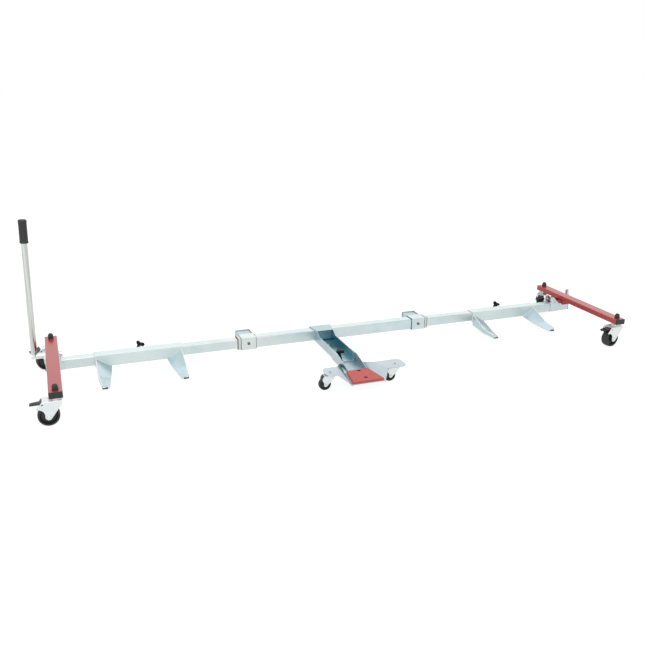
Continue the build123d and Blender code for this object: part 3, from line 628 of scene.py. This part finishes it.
def addRaces():
    for corner in casterTurn:
        shape = moveShape(raceShape(bigRace), Matrix.Translation(casterSpot(corner)))
        addPiece(corner + "_race", shape, zinc, corner + "_caster")
    low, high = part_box("small_caster_pins")
    reach = smallRace["pinRadius"] / perMetre
    for side, x in (("left", low.x + reach), ("right", high.x - reach)):
        shape = moveShape(raceShape(smallRace), Matrix.Translation((x, (low.y + high.y) / 2, 0)))
        addPiece(side + "_small_race", shape, darkSteel, side + "_small_caster")


addRaces()
print("caster races fitted")

gripLook = {"radius": 16.9, "bore": 12.55, "length": 94, "top": 50, "lean": 1.65, "waist": 0.5,
            "ringStart": 12, "ringEnd": 16, "ringPitch": 7, "ringDepth": 0.8, "ring": (0.9, 2.2, 3.1),
            "steps": 56}


def addGrip():
    r, length = gripLook["radius"], gripLook["length"]
    waist = r - gripLook["waist"]
    groove = waist - gripLook["ringDepth"]
    profile = [(gripLook["bore"], 0), (r - 0.8, 0), (r, 0.8), (r, 5.2), (waist, 6)]
    for height in range(gripLook["ringStart"], length - gripLook["ringEnd"], gripLook["ringPitch"]):
        down, bottom, up = (height + step for step in gripLook["ring"])
        profile += [(waist, height), (groove, down), (groove, bottom), (waist, up)]
    profile += [(r - 0.4, length - 9), (r, length - 8), (r, length - 5.5), (r - 1.2, length - 2.4),
                (r - 3.6, length - 0.6), (r - 6.5, length), (0, length)]
    place = Matrix.Translation(boxMiddle("lever_grip")) @ turned(gripLook["lean"], "Y")
    foot = Matrix.Translation((0, 0, (gripLook["top"] - length) / perMetre))
    shape = moveShape(spinShape(profile, gripLook["steps"]), place @ foot)
    addPiece("hand_grip", shape, gripRubber, "lever", ["lever_grip"])


addGrip()
print("hand grip turned")

domeLook = {"radius": 12.2, "height": 22.5, "foot": 2.2, "bore": 6.3, "steps": 40}


def addDomes():
    r, h, foot = domeLook["radius"], domeLook["height"], domeLook["foot"]
    profile = [(domeLook["bore"], 0), (r - 0.3, 0), (r, 0.4), (r, foot), (r - 0.7, foot + 0.5),
               (r - 0.8, h * 0.48), (r - 1.4, h * 0.64), (r - 2.9, h * 0.8), (r - 5, h * 0.92),
               (r - 7.5, h * 0.985), (0, h)]
    for side in sides:
        low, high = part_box(side + "_dome_caps")
        both = bmesh.new()
        for y in (low.y + r / perMetre, high.y - r / perMetre):
            place = Matrix.Translation(((low.x + high.x) / 2, y, low.z))
            joinShape(both, moveShape(spinShape(profile, domeLook["steps"]), place))
        addPiece(side + "_pin_domes", both, blackPlastic, side + "_beam",
                 [side + "_dome_caps"])


addDomes()
print("pin domes turned")

weldLook = {"pitch": 2.4, "radius": 2.2, "flat": 0.75, "wobble": 0.12, "wobblePace": 2.3,
            "wobbleStart": 900, "sharp": 60}
prongSeam = {"left": -920, "right": 903, "outer": 181, "face": -25.5, "top": 85, "slope": (61, 47),
             "flange": (52, 84)}
earSeam = {"left": (1246, 18), "right": (1212, 26), "across": 22, "upright": (55, 80), "foot": 54,
           "front": 6}
beamSeam = {"lug": (1257, 1293, 109), "lugAcross": (-26.5, 26.5), "post": (1245, 1293, 109.5),
            "postAcross": (36, 48)}


def addWelds(name, body, runs, finish):
    # each run is a straight seam between two points in millimetres
    shape = bmesh.new()
    for start, end in runs:
        a, b = spot(*start), spot(*end)
        count = max(2, int((b - a).length * perMetre / weldLook["pitch"]))
        turn = (b - a).to_track_quat("X", "Z").to_matrix().to_4x4()
        for step in range(count + 1):
            phase = step * weldLook["wobblePace"] + a.x * weldLook["wobbleStart"]
            wobble = 1 + weldLook["wobble"] * sin(phase)
            size = Matrix.Diagonal((weldLook["flat"], wobble, wobble, 1))
            place = Matrix.Translation(a.lerp(b, step / count)) @ turn @ size
            bmesh.ops.create_icosphere(shape, subdivisions=2, radius=weldLook["radius"] / perMetre,
                                       matrix=place)
    addPiece(name, shape, finish, body, sharp=weldLook["sharp"])


def prongRuns(side):
    runs = []
    y, (inward, foot), (low, high) = prongSeam["face"], prongSeam["slope"], prongSeam["flange"]
    for out in (-1, 1):
        x = prongSeam[side] + out * prongSeam["outer"]
        runs += [((x, y, prongSeam["top"]), (x - out * inward, y, foot)), ((x, y, low), (x, y, high))]
    return runs


def earRuns(side, sign):
    runs = []
    (hinge, back), (low, high), foot = earSeam[side], earSeam["upright"], earSeam["foot"]
    rear, front = sign * (hinge - back), sign * (hinge + earSeam["front"])
    for y in (-earSeam["across"], earSeam["across"]):
        runs += [((rear, y, low), (rear, y, high)), ((rear, y, foot), (front, y, foot))]
    return runs


def beamRuns(sign):
    runs = []
    for part in ("lug", "post"):
        start, end, z = beamSeam[part]
        runs += [((sign * start, y, z), (sign * end, y, z)) for y in beamSeam[part + "Across"]]
    return runs


for side, sign in zip(sides, (-1, 1)):
    addWelds(side + "_prong_welds", side + "_cradle", prongRuns(side), zinc)
    addWelds(side + "_ear_welds", side + "_rail", earRuns(side, sign), zinc)
    addWelds(side + "_beam_welds", side + "_beam", beamRuns(sign), redPaint)
print("weld seams laid")

pedalLook = {"pivot": (-50, 90), "length": 44, "width": 30, "thick": 5.6, "edge": 1.6, "drop": 4,
             "tipStart": 0.75, "tipWidth": 0.86, "tipThick": 0.55,
             "ribs": 5, "ribWidth": 0.78, "ribThick": 2, "ribHeight": 1.6, "ribStart": 6, "ribPitch": 5,
             "ribRise": 0.3, "ribEdge": 0.5,
             "boss": 6.4, "bossHalf": 14.6, "bossEdge": 0.8, "bossSteps": 32,
             "shoe": (8, 22, 9), "shoePlace": (0, 0, -7), "shoeEdge": 1.2, "shoeTilt": -21}


def pedalShape():
    length, width, thick = pedalLook["length"], pedalLook["width"], pedalLook["thick"]
    shape = barShape((length, width, thick), (-length / 2, 0, 0), pedalLook["edge"], 3)
    for vert in shape.verts:  # narrower and thinner towards the tip
        if vert.co.x < -pedalLook["tipStart"] * length / perMetre:
            vert.co.y *= pedalLook["tipWidth"]
            vert.co.z *= pedalLook["tipThick"]
    ribSize = (pedalLook["ribThick"], width * pedalLook["ribWidth"], pedalLook["ribHeight"])
    for rib in range(pedalLook["ribs"]):
        x = -length + pedalLook["ribStart"] + rib * pedalLook["ribPitch"]
        place = (x, 0, thick / 2 + pedalLook["ribRise"])
        joinShape(shape, barShape(ribSize, place, pedalLook["ribEdge"]))
    moveShape(shape, turned(-pedalLook["drop"], "Y"))
    r, half, edge = pedalLook["boss"], pedalLook["bossHalf"], pedalLook["bossEdge"]
    boss = spinShape([(0, -half), (r - edge, -half), (r, edge - half), (r, half - edge),
                      (r - edge, half), (0, half)], pedalLook["bossSteps"])
    joinShape(shape, moveShape(boss, layWheel))
    shoe = barShape(pedalLook["shoe"], pedalLook["shoePlace"], pedalLook["shoeEdge"])
    joinShape(shape, moveShape(shoe, turned(pedalLook["shoeTilt"], "Y")))
    x, z = pedalLook["pivot"]
    bmesh.ops.translate(shape, vec=(x / perMetre, 0, z / perMetre), verts=shape.verts)
    return shape


for corner, turn in casterTurn.items():
    place = Matrix.Translation(casterSpot(corner)) @ turned(turn, "Z")
    addPiece(corner + "_foot_pedal", moveShape(pedalShape(), place), blackPlastic, corner + "_brake",
             [corner + "_pedal"])
print("brake pedals shaped")

knobLook = {"radius": 20.8, "dip": 10.4, "lobes": 3, "lobePower": 1.1, "height": 12, "edge": 1.8,
            "steps": 72, "neck": 7, "neckHeight": 12, "roundSteps": 40, "standTurn": 90}


def knobShape(turn):
    # three-lobed head on a neck, standing on Z = 0
    shape = bmesh.new()
    foot, dip, neck = knobLook["neckHeight"], knobLook["dip"], knobLook["neck"]
    bmesh.ops.create_circle(shape, cap_ends=True, radius=1 / perMetre, segments=knobLook["steps"],
                            matrix=Matrix.Translation((0, 0, foot / perMetre)))
    for vert in shape.verts:  # circle pulled out into lobes
        swell = (1 + cos(knobLook["lobes"] * atan2(vert.co.y, vert.co.x))) / 2
        vert.co.xy *= dip + (knobLook["radius"] - dip) * swell ** knobLook["lobePower"]
    lifted = bmesh.ops.extrude_face_region(shape, geom=list(shape.faces))["geom"]
    bmesh.ops.translate(shape, vec=(0, 0, knobLook["height"] / perMetre),
                        verts=[each for each in lifted if isinstance(each, bmesh.types.BMVert)])
    bmesh.ops.recalc_face_normals(shape, faces=shape.faces)
    rims = [edge for edge in shape.edges
            if abs(edge.verts[0].co.z - edge.verts[1].co.z) < mergeGap]
    bevelEdges(shape, rims, knobLook["edge"], 3)
    top, cap = foot + 1, foot + knobLook["height"]
    neckProfile = [(neck - 2.6, 0), (neck - 0.4, 0), (neck, 0.5), (neck, top - 4), (neck + 1.6, top)]
    capProfile = [(7.2, cap - 0.2), (6.8, cap + 0.5), (5, cap + 0.7), (0, cap + 0.8)]
    for profile in (neckProfile, capProfile):
        joinShape(shape, spinShape(profile, knobLook["roundSteps"]))
    return moveShape(shape, turned(turn, "Z"))


def addKnobs():
    stud = boxMiddle("clamp_stud")
    place = Matrix.Translation((stud.x, stud.y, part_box("stand_knob")[0].z))
    shape = moveShape(knobShape(knobLook["standTurn"]), place)
    addPiece("stand_star_knob", shape, knobPlastic, "stand_knob", ["stand_knob"])
    for side in sides:
        stud = boxMiddle(side + "_cradle_stud")
        foot = Matrix.Translation((stud.x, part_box(side + "_cradle_knob")[0].y, stud.z))
        shape = moveShape(knobShape(0), foot @ turned(-90, "X"))
        addPiece(side + "_star_knob", shape, knobPlastic, side + "_clamp",
                 [side + "_cradle_knob"])


addKnobs()
print("star knobs shaped")

collarAndRings = {"starts": (-472, 379), "length": 67, "half": 28, "axis": 73.5, "thick": 2.4, "edge": 0.5,
            "guide": 14, "innerRing": (25.1, 27.6), "outerRing": (26.8, 27.8), "guideRing": (21.9, 25.6)}
blockLook = {"depth": 88, "shorter": 6, "shallower": 5, "shift": -1.5, "under": 3.5, "over": 3,
             "edge": 2}


def ringShape(x, ring):
    # dark square ring round a tube, standing in for the shadow line in the gap at a collar end: painted
    # shadow
    shape = bmesh.new()
    inner, outer = ring
    middle, wall, z = (inner + outer) / 2, outer - inner, collarAndRings["axis"]
    thick, edge = collarAndRings["thick"], collarAndRings["edge"]
    for sign in (-1, 1):
        joinShape(shape, barShape((thick, 2 * outer, wall), (x, 0, z + sign * middle), edge))
        joinShape(shape, barShape((thick, wall, 2 * inner), (x, sign * middle, z), edge))
    return shape


def blockShape(start):
    # block that nearly fills a collar's lock box
    length, half, depth = collarAndRings["length"], collarAndRings["half"], blockLook["depth"]
    low = collarAndRings["axis"] - half + blockLook["under"]
    high = collarAndRings["axis"] + half - blockLook["over"]
    size = (length - blockLook["shorter"], depth - half - blockLook["shallower"], high - low)
    centre = (start + length / 2 + blockLook["shift"], (depth + half) / 2 + blockLook["shift"],
              (low + high) / 2)
    return barShape(size, centre, blockLook["edge"], 3)


def addCollarParts():
    shadowRings, blocks = bmesh.new(), bmesh.new()
    step = collarAndRings["thick"] / 2
    for start, out in zip(collarAndRings["starts"], (-1, 1)):
        end = start + collarAndRings["length"]
        outer, inner = (start, end) if out < 0 else (end, start)
        # dark rings at the collar ends and beside the guides: painted shadow lines in the gaps
        joinShape(shadowRings, ringShape(inner - out * step, collarAndRings["innerRing"]))
        joinShape(shadowRings, ringShape(outer + out * step, collarAndRings["outerRing"]))
        joinShape(shadowRings, ringShape(outer + out * (collarAndRings["guide"] + step), collarAndRings["guideRing"]))
        joinShape(blocks, blockShape(start))
    for shape in (shadowRings, blocks):
        bmesh.ops.translate(shape, vec=railMiddle, verts=shape.verts)
    addPiece("collar_shadow_rings", shadowRings, gapShadowDark, "centre")
    addPiece("lock_blocks", blocks, blueSheet, "centre")


addCollarParts()
print("collar seals and lock blocks fitted")

glideLook = {"size": (22, 5.6, 5), "edge": 1.2}


def addGlides():
    width, depth, height = glideLook["size"]
    for side in sides:
        low, high = boxMillimetres(side + "_prong_tips")
        shape = bmesh.new()
        for x in (low.x + width / 2, high.x - width / 2):
            centre = (x, high.y - depth / 2, low.z + height / 2)
            joinShape(shape, barShape(glideLook["size"], centre, glideLook["edge"], 3))
        addPiece(side + "_glides", shape, blackPlastic, side + "_cradle",
                 [side + "_prong_tips"])


addGlides()
print("prong glides fitted")

ridgeLook = {"reach": (0, 52, 99, 184), "fall": (0, 20.75, 39.5, 47), "inset": (0, 0, 0, 7),
             "radius": 1.9, "sink": 0.9, "sides": 10}


def ridgeShape(outer, face, top, out):
    # rounded fold along a prong's ridge, coloured near white as a painted highlight
    shape = bmesh.new()
    loops = []
    sink = ridgeLook["sink"]
    for reach, fall, inset in zip(ridgeLook["reach"], ridgeLook["fall"], ridgeLook["inset"]):
        centre = Vector((outer - out * (inset + sink), face - reach, top - fall - sink)) / perMetre
        made = bmesh.ops.create_circle(shape, cap_ends=False, radius=ridgeLook["radius"] / perMetre,
                                       segments=ridgeLook["sides"],
                                       matrix=Matrix.Translation(centre) @ layWheel)
        loops.append(list({edge for vert in made["verts"] for edge in vert.link_edges}))
    for near, far in zip(loops, loops[1:]):
        bmesh.ops.bridge_loops(shape, edges=near + far)
    bmesh.ops.holes_fill(shape, edges=loops[0] + loops[-1], sides=ridgeLook["sides"])
    bmesh.ops.recalc_face_normals(shape, faces=shape.faces)
    return shape


def addRidges():
    for side in sides:
        low, high = boxMillimetres(side + "_prongs")
        shape = bmesh.new()
        for outer, out in ((low.x, -1), (high.x, 1)):
            joinShape(shape, ridgeShape(outer, high.y, high.z, out))
        addPiece(side + "_prong_ridges", shape, paintedRidgeHighlight, side + "_cradle")


addRidges()
print("prong ridges laid")

bpy.context.scene.view_settings.view_transform = "Standard"
